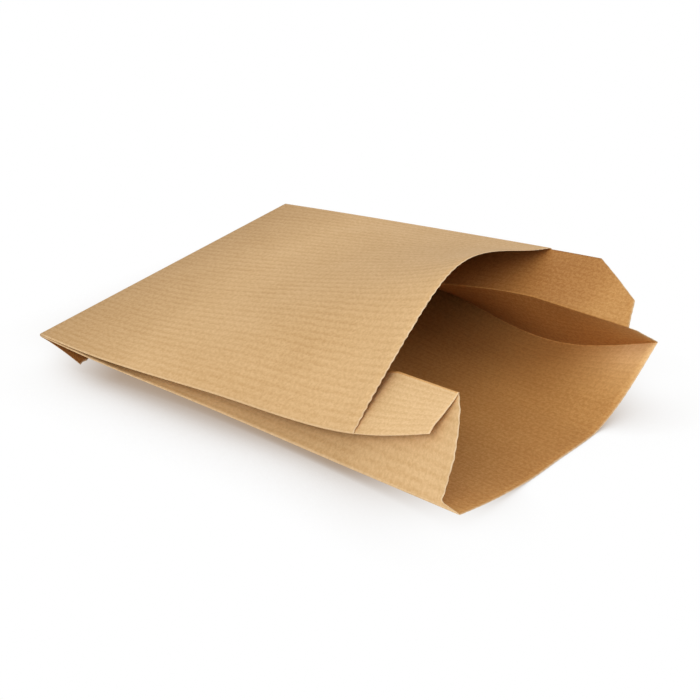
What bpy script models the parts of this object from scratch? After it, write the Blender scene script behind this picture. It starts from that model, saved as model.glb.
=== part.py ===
"""Side-gusseted paper lunch bag, lying on its back panel with the mouth held open.

The bag is one folded and glued sheet. Its length runs along X, from the folded bottom edge
to the mouth, its width along Y and its height along Z. Six creases run the whole length:
the front, the gusset fold and the back crease of the near side (-Y) and of the far side (+Y).
A cross-section is a belt around six small pins, one in each crease.
"""

import math

import bmesh
import bpy
import numpy as np

# Driving dimensions of the flat bag, in metres
BAG_WIDTH = 0.180
GUSSET_HALF = 0.041
FRONT_LENGTH = 0.196
BACK_LENGTH = 0.2645
CUT_SKEW = 0.013
FLAP_LENGTH = 0.028
SHEET = 0.0003
FLAP_SHEET = 0.0008
CREASE_RADIUS = 0.0004
FLAP_GAP = 0.00035

# How each gusset half is cut: places across it, in belt order, and the edge's set-back there
FAR_UPPER_PLACES = (0.0, 0.28, 0.56, 0.80, 1.0)
FAR_UPPER_SETBACKS = (0.0370, 0.0200, 0.0038, 0.0003, -0.0033)
FAR_LOWER_PLACES = (0.0, 0.25, 0.50, 0.75, 1.0)
FAR_LOWER_SETBACKS = (-0.0033, -0.0026, -0.0018, -0.0009, 0.0)
NEAR_LOWER_PLACES = (0.0, 0.06, 0.50, 0.72, 1.0)
NEAR_LOWER_SETBACKS = (0.0, 0.0104, 0.0093, 0.0125, 0.0205)
NEAR_UPPER_PLACES = (0.0, 0.20, 0.50, 0.80, 1.0)
NEAR_UPPER_SETBACKS = (0.0205, 0.0208, 0.0223, 0.0242, 0.0242)

# Stations along the bag where the open shape is given: bottom, flap, belly, throat, mouth
BELLY_STATION = 0.110
STATIONS = (0.0, FLAP_LENGTH, BELLY_STATION, FRONT_LENGTH, BACK_LENGTH)

# Each crease at the stations: how far inside the bag's edge it lies, and how high
NEAR_FRONT_INSET = (0.0, 0.0005, 0.0049, 0.0108, 0.0080)
NEAR_FRONT_HEIGHT = (0.0128, 0.0119, 0.0149, 0.0196, 0.0450)
NEAR_BACK_INSET = (0.0, 0.0005, 0.0073, 0.0067, 0.0009)
NEAR_BACK_HEIGHT = (0.0112, 0.0102, 0.0051, 0.0044, 0.0079)
FAR_FRONT_INSET = (0.0, 0.0010, 0.0051, 0.0062, 0.0129)
FAR_FRONT_HEIGHT = (0.0284, 0.0322, 0.0444, 0.0552, 0.0654)
FAR_BACK_INSET = (0.0, 0.0010, 0.0049, 0.0122, 0.0119)
FAR_BACK_HEIGHT = (0.0268, 0.0220, 0.0132, 0.0087, 0.0302)

# How much each gusset half falls short of its flat width as it bows, from crease to fold
NEAR_UPPER_BOW = (0.0, 0.0, 0.0, 0.0047, 0.0276)
NEAR_LOWER_BOW = (0.0, 0.0, 0.0, -0.0079, -0.0087)
FAR_UPPER_BOW = (0.0, 0.0, 0.0, 0.0072, 0.0052)
FAR_LOWER_BOW = (0.0, 0.0, 0.0, -0.0010, 0.0064)

# The front panel's arch at the stations up to the throat: slopes to its chord, and reach
ARCH_STATIONS = STATIONS[:4]
ARCH_NEAR_SLOPE = (0.0, 0.02, 0.33, 0.47)
ARCH_FAR_SLOPE = (0.0, -0.12, -0.27, -0.515)
ARCH_NEAR_REACH = (0.33, 0.33, 0.40, 0.72)
ARCH_FAR_REACH = (0.33, 0.33, 0.40, 0.535)

# The back panel's belly, which lies flat on the floor
BELLY_START = 0.075
BELLY_NEAR_MARGIN = 0.059
BELLY_FAR_MARGIN = 0.069
BELLY_NEAR_POWER = 1.36
BELLY_FAR_POWER = 1.52

# The glued flap under the bottom: how far its near corner has come away
FLAP_PEEL = 0.0050
FLAP_PEEL_WIDTH = 0.045

# Mesh resolution
FRONT_SEGMENTS = 20
CREASE_SEGMENTS = 3
BELLY_SEGMENTS = (6, 3, 8)
ROWS_TO_THROAT = 16
ROWS_TO_MOUTH = 7
FLAP_ROWS = 7
FLAP_COLUMNS = 18
FLAP_TURN_SEGMENTS = 5

SHEET_COLOUR = (0.56, 0.36, 0.19, 1.0)
SHEET_ROUGHNESS = 0.85


def clear_scene():
    """Remove every object of the scene."""
    for obj in list(bpy.data.objects):
        bpy.data.objects.remove(obj, do_unlink=True)


def through(stations, values, x):
    """Value at x of the smooth curve through the stations' values."""
    slopes = np.gradient(values, stations)
    i = int(np.clip(np.searchsorted(stations, x) - 1, 0, len(stations) - 2))
    step = stations[i + 1] - stations[i]
    t = (x - stations[i]) / step
    start = (2 * t ** 3 - 3 * t ** 2 + 1) * values[i] + (t ** 3 - 2 * t ** 2 + t) * step * slopes[i]
    end = (3 * t ** 2 - 2 * t ** 3) * values[i + 1] + (t ** 3 - t ** 2) * step * slopes[i + 1]
    return float(start + end)


def smoothstep(t):
    """Ease from 0 to 1."""
    t = min(max(t, 0.0), 1.0)
    return t * t * (3.0 - 2.0 * t)


def crease_point(side, insets, heights, x):
    """Centre of a crease's pin in the section at x; side is -1 near and +1 far."""
    y = side * (BAG_WIDTH / 2.0 - through(STATIONS, insets, x))
    return np.array((y, through(STATIONS, heights, x)))


def front_pin(side, x):
    """Pin of a front crease."""
    if side < 0:
        return crease_point(side, NEAR_FRONT_INSET, NEAR_FRONT_HEIGHT, x)
    return crease_point(side, FAR_FRONT_INSET, FAR_FRONT_HEIGHT, x)


def back_pin(side, x):
    """Pin of a back crease."""
    if side < 0:
        return crease_point(side, NEAR_BACK_INSET, NEAR_BACK_HEIGHT, x)
    return crease_point(side, FAR_BACK_INSET, FAR_BACK_HEIGHT, x)


def bowed_fold_pin(side, x):
    """Pin of a gusset fold: each half's width away from the front and the back crease.

    In the closed end the fold lies midway in the pressed stack instead, along its slope.
    """
    upper_bow = NEAR_UPPER_BOW if side < 0 else FAR_UPPER_BOW
    lower_bow = NEAR_LOWER_BOW if side < 0 else FAR_LOWER_BOW
    upper = GUSSET_HALF - through(STATIONS, upper_bow, x)
    lower = GUSSET_HALF - through(STATIONS, lower_bow, x)
    front = front_pin(side, x)
    along = back_pin(side, x) - front
    gap = float(np.hypot(*along))
    along = along / gap
    reach = (upper ** 2 - lower ** 2 + gap ** 2) / (2.0 * gap)
    inward = math.sqrt(max(upper ** 2 - reach ** 2, 0.0))
    normal = np.array((-along[1], along[0]))
    if normal[0] * side > 0.0:
        normal = -normal
    open_fold = front + along * reach + normal * inward
    stack = front_pin(-side, x) - front
    stack = stack / float(np.hypot(*stack))
    pressed_fold = front + along * gap / 2.0 + stack * math.sqrt(max(upper ** 2 - gap ** 2 / 4.0, 0.0))
    opened = smoothstep((x - FLAP_LENGTH) / (BELLY_STATION - FLAP_LENGTH))
    return pressed_fold + (open_fold - pressed_fold) * opened


def fold_pin(side, x):
    """Pin of a gusset fold, which runs straight from the throat to the mouth."""
    if x <= FRONT_LENGTH:
        return bowed_fold_pin(side, x)
    throat = bowed_fold_pin(side, FRONT_LENGTH)
    mouth = bowed_fold_pin(side, BACK_LENGTH)
    return throat + (mouth - throat) * (x - FRONT_LENGTH) / (BACK_LENGTH - FRONT_LENGTH)


def direction(angle):
    """Unit vector at an angle in the section."""
    return np.array((math.cos(angle), math.sin(angle)))


def left_of(vector):
    """Unit normal on the left of a direction, which is the bag's outside."""
    length = math.hypot(*vector)
    return np.array((-vector[1], vector[0])) / length


def arch(x, v):
    """Front panel's centre line in the section at x, with its tangent, from near to far."""
    start = front_pin(-1, x)
    end = front_pin(1, x)
    chord = end - start
    length = math.hypot(*chord)
    tilt = math.atan2(chord[1], chord[0])
    near = tilt + through(ARCH_STATIONS, ARCH_NEAR_SLOPE, x)
    far = tilt + through(ARCH_STATIONS, ARCH_FAR_SLOPE, x)
    near_handle = start + direction(near) * through(ARCH_STATIONS, ARCH_NEAR_REACH, x) * length
    far_handle = end - direction(far) * through(ARCH_STATIONS, ARCH_FAR_REACH, x) * length
    points = (start, near_handle, far_handle, end)
    weights = ((1 - v) ** 3, 3 * (1 - v) ** 2 * v, 3 * (1 - v) * v ** 2, v ** 3)
    place = sum(w * p for w, p in zip(weights, points))
    slopes = ((1 - v) ** 2, 2 * (1 - v) * v, v ** 2)
    tangent = sum(w * (b - a) for w, a, b in zip(slopes, points, points[1:]))
    return place, tangent


def belly_height(x, y):
    """Height of the back panel's centre line at a place in the section at x."""
    near = back_pin(-1, x)
    far = back_pin(1, x)
    flat_near = BELLY_NEAR_MARGIN - BAG_WIDTH / 2.0
    flat_far = BAG_WIDTH / 2.0 - BELLY_FAR_MARGIN
    near_share = min(max((flat_near - y) / (flat_near - near[0]), 0.0), 1.0)
    far_share = min(max((y - flat_far) / (far[0] - flat_far), 0.0), 1.0)
    trough = near[1] * near_share ** BELLY_NEAR_POWER + far[1] * far_share ** BELLY_FAR_POWER
    straight = near[1] + (far[1] - near[1]) * (y - near[0]) / (far[0] - near[0])
    settled = smoothstep(x / BELLY_START)
    return straight + (trough - straight) * settled


def belly(x, v):
    """Back panel's centre line in the section at x, with its tangent, from far to near.

    The parameter runs over three stretches: the far curve, the flat and the near curve.
    """
    far = back_pin(1, x)[0]
    near = back_pin(-1, x)[0]
    flat_near = BELLY_NEAR_MARGIN - BAG_WIDTH / 2.0
    flat_far = BAG_WIDTH / 2.0 - BELLY_FAR_MARGIN
    y = float(np.interp(v, (0.0, 1.0, 2.0, 3.0), (far, flat_far, flat_near, near)))
    step = 0.0002
    ahead = max(y - step, near)
    behind = min(y + step, far)
    tangent = np.array((ahead - behind, belly_height(x, ahead) - belly_height(x, behind)))
    return np.array((y, belly_height(x, y))), tangent


def half(x, v, start, end, start_side):
    """Gusset half from one pin to the next, passing from one side of them to the other."""
    a = start(x)
    b = end(x)
    normal = left_of(b - a)
    offset = start_side * CREASE_RADIUS * (1.0 - 2.0 * v)
    return a + (b - a) * v + normal * offset


def around(x, t, pin, side, arriving, leaving):
    """Point on the bend around a pin, between the panel that arrives and the one that leaves."""
    a = arriving(x)
    b = leaving(x)
    start = math.atan2(a[1], a[0])
    turn = (math.atan2(b[1], b[0]) - start) % (2.0 * math.pi)
    if side > 0:
        turn = turn - 2.0 * math.pi
    angle = start + turn * t
    return pin(x) + left_of(direction(angle)) * CREASE_RADIUS * side


def near_front(x):
    return front_pin(-1, x)


def far_front(x):
    return front_pin(1, x)


def near_back(x):
    return back_pin(-1, x)


def far_back(x):
    return back_pin(1, x)


def near_fold(x):
    return fold_pin(-1, x)


def far_fold(x):
    return fold_pin(1, x)


def skewed(length, across):
    """A length as cut at a place across the bag: the far side is cut shorter."""
    return length - CUT_SKEW * across


def panel_columns():
    """The belt's columns in order, each with its point at x, its place across and its cut.

    A column's cut is None where the sheet ends at the throat with the front panel.
    """
    columns = []

    def add(point, across, cut):
        columns.append((point, across, cut))

    def front_column(v):
        def point(x):
            place, tangent = arch(x, v)
            return place + left_of(tangent) * CREASE_RADIUS
        add(point, v, None)

    def back_column(v):
        def point(x):
            place, tangent = belly(x, v)
            return place + left_of(tangent) * CREASE_RADIUS
        across = float(np.interp(v, (0.0, 3.0), (1.0, 0.0)))
        add(point, across, skewed(BACK_LENGTH, across))

    def half_columns(start, end, start_side, across, places, setbacks):
        for v, setback in zip(places, setbacks):
            cut = skewed(BACK_LENGTH, across) - setback
            add(lambda x, v=v: half(x, v, start, end, start_side), across, cut)

    def bend_columns(pin, side, arriving, leaving, across, cut):
        for i in range(1, CREASE_SEGMENTS):
            t = i / CREASE_SEGMENTS
            add(lambda x, t=t: around(x, t, pin, side, arriving, leaving), across, cut)

    def chord(start, end):
        return lambda x: end(x) - start(x)

    near_edge = skewed(BACK_LENGTH, 0.0)
    far_edge = skewed(BACK_LENGTH, 1.0)

    for i in range(FRONT_SEGMENTS + 1):
        front_column(i / FRONT_SEGMENTS)
    bend_columns(far_front, 1, lambda x: arch(x, 1.0)[1], chord(far_front, far_fold), 1.0, None)
    half_columns(far_front, far_fold, 1, 1.0, FAR_UPPER_PLACES, FAR_UPPER_SETBACKS)
    bend_columns(far_fold, -1, chord(far_front, far_fold), chord(far_fold, far_back), 1.0,
                 far_edge - FAR_LOWER_SETBACKS[0])
    half_columns(far_fold, far_back, -1, 1.0, FAR_LOWER_PLACES, FAR_LOWER_SETBACKS)
    bend_columns(far_back, 1, chord(far_fold, far_back), lambda x: belly(x, 0.0)[1], 1.0, far_edge)
    stretch = 0
    for segments in reversed(BELLY_SEGMENTS):
        for i in range(segments):
            back_column(stretch + i / segments)
        stretch += 1
    back_column(3.0)
    bend_columns(near_back, 1, lambda x: belly(x, 3.0)[1], chord(near_back, near_fold), 0.0, near_edge)
    half_columns(near_back, near_fold, 1, 0.0, NEAR_LOWER_PLACES, NEAR_LOWER_SETBACKS)
    bend_columns(near_fold, -1, chord(near_back, near_fold), chord(near_fold, near_front), 0.0,
                 near_edge - NEAR_UPPER_SETBACKS[0])
    half_columns(near_fold, near_front, -1, 0.0, NEAR_UPPER_PLACES, NEAR_UPPER_SETBACKS)
    bend_columns(near_front, 1, chord(near_fold, near_front), lambda x: arch(x, 0.0)[1], 0.0, None)
    return columns


def bag_surface():
    """Middle surface of the folded sheet: closed at the bottom, cut open at the mouth."""
    mesh = bmesh.new()
    columns = panel_columns()
    count = len(columns)
    rows = []
    for row in range(ROWS_TO_THROAT + 1):
        line = []
        for point, across, cut in columns:
            x = skewed(FRONT_LENGTH, across) * row / ROWS_TO_THROAT
            y, z = point(x)
            line.append(mesh.verts.new((x, y, z)))
        rows.append(line)
    for near, far in zip(rows, rows[1:]):
        for i in range(count):
            j = (i + 1) % count
            mesh.faces.new((near[i], near[j], far[j], far[i]))
    mesh.faces.new(list(reversed(rows[0])))
    open_columns = [i for i in range(count) if columns[i][2] is not None]
    lines = [[rows[-1][i] for i in open_columns]]
    for row in range(1, ROWS_TO_MOUTH + 1):
        line = []
        for i in open_columns:
            point, across, cut = columns[i]
            throat = skewed(FRONT_LENGTH, across)
            x = throat + (cut - throat) * row / ROWS_TO_MOUTH
            y, z = point(x)
            line.append(mesh.verts.new((x, y, z)))
        lines.append(line)
    for near, far in zip(lines, lines[1:]):
        for i in range(len(open_columns) - 1):
            mesh.faces.new((near[i], near[i + 1], far[i + 1], far[i]))
    return mesh


def flap_surface():
    """Middle surface of the bottom flap: out of the bottom edge, turned under and back."""
    mesh = bmesh.new()
    drop = 3.0 * CREASE_RADIUS + SHEET / 2.0 + FLAP_GAP + FLAP_SHEET / 2.0
    turn = drop / 2.0
    lead = CREASE_RADIUS
    lines = []
    for column in range(FLAP_COLUMNS + 1):
        share = column / FLAP_COLUMNS
        y = (share - 0.5) * (BAG_WIDTH - 2.0 * SHEET)
        middle = belly_height(0.0, y) + 2.0 * CREASE_RADIUS
        profile = [(0.0, middle)]
        for i in range(FLAP_TURN_SEGMENTS + 1):
            angle = math.pi * i / FLAP_TURN_SEGMENTS
            profile.append((-lead - turn * math.sin(angle), middle - turn * (1.0 - math.cos(angle))))
        edge = back_pin(-1, FLAP_LENGTH)[0]
        peel_share = min(max((edge + FLAP_PEEL_WIDTH - y) / FLAP_PEEL_WIDTH, 0.0), 1.0)
        for row in range(FLAP_ROWS + 1):
            x = FLAP_LENGTH * row / FLAP_ROWS
            inside = min(max(y, back_pin(-1, x)[0]), back_pin(1, x)[0])
            under = belly_height(x, inside) + 2.0 * CREASE_RADIUS - drop
            peel = FLAP_PEEL * (row / FLAP_ROWS) ** 1.5 * peel_share ** 2
            profile.append((x, under - peel))
        lines.append([mesh.verts.new((x, y, z)) for x, z in profile])
    for near, far in zip(lines, lines[1:]):
        for i in range(len(near) - 1):
            mesh.faces.new((near[i], near[i + 1], far[i + 1], far[i]))
    return mesh


def sheet_material():
    """Brown kraft paper."""
    material = bpy.data.materials.new("kraft_paper")
    material.use_nodes = True
    shader = material.node_tree.nodes["Principled BSDF"]
    shader.inputs["Base Color"].default_value = SHEET_COLOUR
    shader.inputs["Roughness"].default_value = SHEET_ROUGHNESS
    shader.inputs["Metallic"].default_value = 0.0
    return material


def sheet_object(name, surface, thickness, collection):
    """An object of a surface's mesh, given its thickness evenly on both sides."""
    mesh = bpy.data.meshes.new(name)
    surface.to_mesh(mesh)
    surface.free()
    obj = bpy.data.objects.new(name, mesh)
    collection.objects.link(obj)
    wall = obj.modifiers.new("wall", "SOLIDIFY")
    wall.thickness = thickness
    wall.offset = 0.0
    wall.use_even_offset = True
    return obj


def stand_on_origin(obj):
    """Move an object so that its box stands centred on the origin."""
    bpy.context.view_layer.update()
    shape = obj.evaluated_get(bpy.context.evaluated_depsgraph_get())
    corners = np.array([vertex.co[:] for vertex in shape.data.vertices])
    low = corners.min(axis=0)
    high = corners.max(axis=0)
    obj.location = (-(low[0] + high[0]) / 2.0, -(low[1] + high[1]) / 2.0, -low[2])


def main():
    """Build the bag."""
    clear_scene()
    parts = bpy.data.collections.new("paper_lunch_bag")
    cutters = bpy.data.collections.new("cutters")
    bpy.context.scene.collection.children.link(parts)
    bpy.context.scene.collection.children.link(cutters)
    bag = sheet_object("paper_bag", bag_surface(), SHEET, parts)
    flap = sheet_object("flap_form", flap_surface(), FLAP_SHEET, cutters)
    flap.hide_render = True
    flap.display_type = "WIRE"
    join = bag.modifiers.new("glued_flap", "BOOLEAN")
    join.operation = "UNION"
    join.object = flap
    bag.data.materials.append(sheet_material())
    stand_on_origin(bag)
    flap.location = bag.location


main()
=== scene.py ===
"""Side-gusseted paper lunch bag, lying on its back panel with the mouth held open.

The bag is one sheet of ribbed kraft paper. Its length runs along X, its width along Y. Six
creases run the whole length: front, gusset fold and back on the near side (-Y) and on the far
side (+Y), and a cross-section is a belt round six small pins, one in each crease.
"""

import math
from functools import partial

import bmesh
import bpy
import numpy as np
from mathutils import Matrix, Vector, noise


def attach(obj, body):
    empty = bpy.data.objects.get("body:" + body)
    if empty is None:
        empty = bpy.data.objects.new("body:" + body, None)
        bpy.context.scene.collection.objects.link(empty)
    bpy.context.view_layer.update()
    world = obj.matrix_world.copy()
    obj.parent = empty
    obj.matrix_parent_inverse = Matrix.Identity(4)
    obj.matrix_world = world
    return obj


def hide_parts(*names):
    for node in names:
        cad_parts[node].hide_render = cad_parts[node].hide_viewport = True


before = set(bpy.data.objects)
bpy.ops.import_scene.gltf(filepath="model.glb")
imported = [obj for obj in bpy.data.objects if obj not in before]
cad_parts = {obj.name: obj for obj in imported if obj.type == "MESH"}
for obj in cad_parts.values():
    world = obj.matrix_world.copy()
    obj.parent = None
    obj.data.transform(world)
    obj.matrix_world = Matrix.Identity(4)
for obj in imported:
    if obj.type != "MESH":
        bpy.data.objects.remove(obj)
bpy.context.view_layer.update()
NODE = "paper_bag"

bl_info = {
    "name": "Paper Lunch Bag",
    "version": (1, 0, 0),
    "blender": (4, 5, 0),
    "location": "View3D > Sidebar > Lunch Bag",
    "description": "A flat gusseted paper bag lying with its mouth held open",
    "category": "Add Mesh",
}

# Where the bag's modelling axes lie in the frame: bottom edge at x = 0, floor at z = 0
BAG_SHIFT = (-0.13135, 0.0, 0.00055)

# Stations along the bag where the open shape is given: bottom, flap, belly, throat, mouth
FLAP_STATION = 0.028
BELLY_STATION = 0.110
THROAT_STATION = 0.196
MOUTH_STATION = 0.2645
STATIONS = np.array((0.0, FLAP_STATION, BELLY_STATION, THROAT_STATION, MOUTH_STATION))

# The two sides of the bag, as signs of Y
NEAR = -1
FAR = 1

# Each crease at the stations: how far inside the bag's edge it lies, and how high
FRONT_CREASE = {
    NEAR: ((0.0, 0.0005, 0.0049, 0.0108, 0.0080), (0.0124, 0.0119, 0.0149, 0.0196, 0.0450)),
    FAR: ((0.0, 0.0010, 0.0051, 0.0062, 0.0129), (0.0280, 0.0322, 0.0444, 0.0552, 0.0654))}
BACK_CREASE = {
    NEAR: ((0.0, 0.0005, 0.0073, 0.0067, 0.0009), (0.0116, 0.0102, 0.0051, 0.0044, 0.0079)),
    FAR: ((0.0, 0.0010, 0.0049, 0.0122, 0.0119), (0.0272, 0.0220, 0.0132, 0.0087, 0.0302))}

# How much each gusset half falls short of its flat width as it bows, from crease to fold
UPPER_BOW = {NEAR: (0.0, 0.0, 0.0, 0.0047, 0.0276), FAR: (0.0, 0.0, 0.0, 0.0072, 0.0052)}
LOWER_BOW = {NEAR: (0.0, 0.0, 0.0, -0.0079, -0.0087), FAR: (0.0, 0.0, 0.0, -0.0010, 0.0064)}

# The front panel's arch at the stations up to the throat: slopes to its chord, and reach
ARCH_NEAR_SLOPE = (0.0, 0.02, 0.33, 0.47)
ARCH_FAR_SLOPE = (0.0, -0.12, -0.27, -0.515)
ARCH_NEAR_REACH = (0.33, 0.33, 0.40, 0.72)
ARCH_FAR_REACH = (0.33, 0.33, 0.40, 0.535)

# How many steps and places the arch's length is measured at, so that it can be shared evenly
ARCH_STEPS = 81
ARCH_PLACES = 40

# The back panel's belly, which lies flat on the floor
BELLY_START = 0.075
BELLY_NEAR_MARGIN = 0.059
BELLY_FAR_MARGIN = 0.069
BELLY_NEAR_POWER = 1.36
BELLY_FAR_POWER = 1.52

# How the gussets are cut: set-backs from the back panel's mouth edge, from crease to fold
FAR_UPPER_CUT = ((0.0, 0.28, 0.56, 0.80, 1.0), (0.0370, 0.0200, 0.0038, 0.0003, -0.0033))
FAR_LOWER_CUT = ((0.0, 0.16, 0.40, 1.0), (-0.0033, -0.0045, -0.0024, 0.0))
NEAR_LOWER_CUT = ((0.0, 0.042, 0.10, 0.25, 0.46, 0.61, 0.70, 0.87, 1.0),
                  (0.0, 0.0109, 0.0104, 0.0097, 0.0092, 0.0108, 0.0120, 0.0157, 0.0205))
NEAR_UPPER_CUT = ((0.0, 0.20, 0.50, 0.80, 1.0), (0.0205, 0.0208, 0.0223, 0.0242, 0.0242))


class BagSettings(bpy.types.PropertyGroup):
    """Sizes and colours of the bag."""

    width: bpy.props.FloatProperty(
        name="Width", description="Width of the flat bag", default=0.180, min=0.05, unit="LENGTH")
    gusset_half: bpy.props.FloatProperty(
        name="Gusset half", description="Width of one half of a side gusset",
        default=0.041, min=0.01, unit="LENGTH")
    front_length: bpy.props.FloatProperty(
        name="Front length", description="Length of the front panel at its near crease",
        default=0.196, min=0.05, unit="LENGTH")
    back_length: bpy.props.FloatProperty(
        name="Back length", description="Length of the back panel at its near crease",
        default=0.2645, min=0.05, unit="LENGTH")
    cut_skew: bpy.props.FloatProperty(
        name="Cut skew", description="How much shorter the far side is cut", default=0.013,
        unit="LENGTH")
    flap_length: bpy.props.FloatProperty(
        name="Flap length", description="Length of the flap glued under the bottom",
        default=0.028, min=0.005, unit="LENGTH")
    paper: bpy.props.FloatProperty(
        name="Paper", description="Thickness of the paper as modelled", default=0.00022,
        min=0.0001, unit="LENGTH")
    crease_radius: bpy.props.FloatProperty(
        name="Crease radius", description="Radius of the pin in every crease", default=0.0003,
        min=0.0001, unit="LENGTH")
    tooth_pitch: bpy.props.FloatProperty(
        name="Tooth pitch", description="Distance between the teeth of the cut edges",
        default=0.0043, min=0.0005, unit="LENGTH")
    tooth_depth: bpy.props.FloatProperty(
        name="Tooth depth", description="Depth of the teeth of the cut edges",
        default=0.0007, min=0.0, unit="LENGTH")
    paper_colour: bpy.props.FloatVectorProperty(
        name="Paper colour", description="Colour of the kraft paper between its ribs",
        default=(0.68, 0.445, 0.218), size=3, subtype="COLOR", min=0.0, max=1.0)
    rib_colour: bpy.props.FloatVectorProperty(
        name="Rib colour", description="Darker colour in the ribs and the fibres",
        default=(0.52, 0.31, 0.125), size=3, subtype="COLOR", min=0.0, max=1.0)
    # The inner face's colours are partly the paper's own inner face and mostly painted shade of the
    # bag's inside, darker and deeper than the outer face
    lining_colour_and_shade: bpy.props.FloatVectorProperty(
        name="Lining colour", description="Colour of the paper's smoother inner face",
        default=(0.60, 0.315, 0.095), size=3, subtype="COLOR", min=0.0, max=1.0)
    lining_shade: bpy.props.FloatVectorProperty(
        name="Lining shade", description="Darker colour in the ribs of the inner face",
        default=(0.45, 0.205, 0.05), size=3, subtype="COLOR", min=0.0, max=1.0)
    # Pale colour of the creases and cut edges: partly rubbed and torn fibres, partly painted
    # highlight where folds and edges catch the light
    worn_and_highlight_colour: bpy.props.FloatVectorProperty(
        name="Worn colour", description="Pale colour of rubbed creases and cut edges",
        default=(0.82, 0.63, 0.40), size=3, subtype="COLOR", min=0.0, max=1.0)


class StudioSettings(bpy.types.PropertyGroup):
    """Floor, light and camera."""

    floor_size: bpy.props.FloatProperty(
        name="Floor size", description="Side of the square floor", default=12.0, unit="LENGTH")
    lamp_power: bpy.props.FloatProperty(
        name="Lamp power", description="Strength of the soft box", default=1.45, min=0.0)
    lamp_spread: bpy.props.FloatProperty(
        name="Lamp spread", description="Width of the soft box in degrees as the bag sees it",
        default=40.0, min=0.0)
    lamp_from: bpy.props.FloatVectorProperty(
        name="Lamp from", description="Direction in which the soft box hangs",
        default=(0.22, -0.84, 0.55), size=3, subtype="XYZ")
    fill_power: bpy.props.FloatProperty(
        name="Fill power", description="Strength of the second soft box", default=0.55, min=0.0)
    fill_from: bpy.props.FloatVectorProperty(
        name="Fill from", description="Direction in which the second soft box hangs",
        default=(0.77, 0.28, 0.60), size=3, subtype="XYZ")
    sky_strength: bpy.props.FloatProperty(
        name="Sky strength", description="Strength of the even light from all around",
        default=0.68, min=0.0)
    lens: bpy.props.FloatProperty(
        name="Lens", description="Focal length in millimetres", default=113.66, min=1.0)
    camera_azimuth: bpy.props.FloatProperty(
        name="Camera azimuth", description="Direction of the camera round the bag",
        default=math.radians(-49.01), subtype="ANGLE")
    camera_elevation: bpy.props.FloatProperty(
        name="Camera elevation", description="Height of the camera over the floor as an angle",
        default=math.radians(25.28), subtype="ANGLE")
    camera_distance: bpy.props.FloatProperty(
        name="Camera distance", description="Distance from the camera to its target",
        default=1.0623, min=0.1, unit="LENGTH")
    camera_target: bpy.props.FloatVectorProperty(
        name="Camera target", description="Point that the camera looks at",
        default=(0.00685, -0.0154, 0.02055), size=3, subtype="XYZ", unit="LENGTH")


def through(values, x):
    """Values at x of the smooth curve through the stations' values."""
    stations = STATIONS[:len(values)]
    slopes = np.gradient(values, stations)
    values = np.asarray(values)
    i = np.clip(np.searchsorted(stations, x) - 1, 0, len(stations) - 2)
    step = stations[i + 1] - stations[i]
    t = (x - stations[i]) / step
    start = (2 * t ** 3 - 3 * t ** 2 + 1) * values[i] + (t ** 3 - 2 * t ** 2 + t) * step * slopes[i]
    end = (3 * t ** 2 - 2 * t ** 3) * values[i + 1] + (t ** 3 - t ** 2) * step * slopes[i + 1]
    return start + end


def smoothstep(t):
    """Ease from 0 to 1."""
    t = np.clip(t, 0.0, 1.0)
    return t * t * (3.0 - 2.0 * t)


def unit(vectors):
    """Vectors scaled to length 1."""
    return vectors / np.linalg.norm(vectors, axis=-1, keepdims=True)


def left_of(vectors):
    """Unit normals on the left of directions, which is the bag's outside."""
    turned = np.stack((-vectors[..., 1], vectors[..., 0]), axis=-1)
    return unit(turned)


def heading(angle):
    """Unit vectors at angles in the section."""
    return np.stack((np.cos(angle), np.sin(angle)), axis=-1)


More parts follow.
